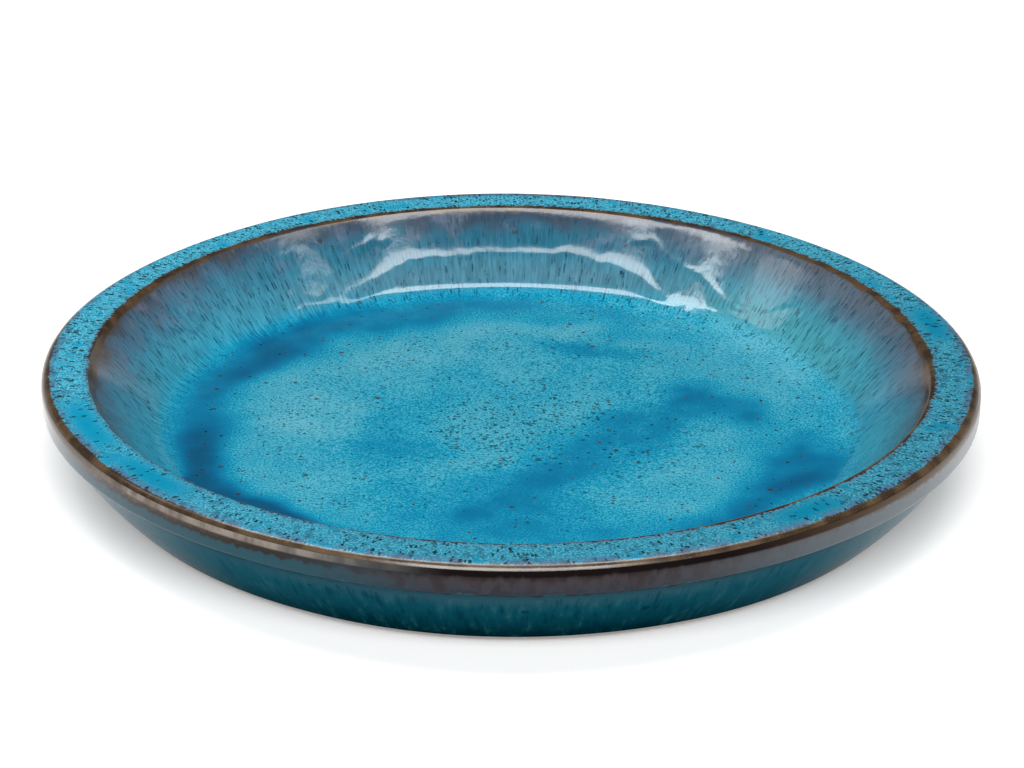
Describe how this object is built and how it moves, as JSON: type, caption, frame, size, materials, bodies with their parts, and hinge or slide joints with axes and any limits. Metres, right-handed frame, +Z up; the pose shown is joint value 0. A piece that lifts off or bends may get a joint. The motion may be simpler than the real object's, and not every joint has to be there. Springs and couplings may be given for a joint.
{
  "type": "bird bath",
  "caption": "Shallow round stoneware bird bath bowl with a thick flat rim and a speckled turquoise glaze, standing flat on the ground on a low foot ring.",
  "frame": {"origin": "middle of the foot ring's underside, on the ground", "axes": "+Z up along the turned axis; X and Y are free, because the bowl is round; the camera's side is -Y"},
  "size_m": [0.34, 0.34, 0.04],
  "materials": {
    "fired_stoneware": "bare brown stoneware, matt and slightly gritty, on the foot ring and the underside",
    "turquoise_glaze": "glossy turquoise glaze with dark and rust specks and blue clouds, breaking to brown at the rim's edges",
    "dark_teal_glaze": "glossy dark teal glaze with fine streaks running down the wall"
  },
  "bodies": {
    "root": {"stoneware_bowl": "fired_stoneware", "inside_glaze": "turquoise_glaze", "outside_glaze": "dark_teal_glaze"}
  },
  "joints": []
}
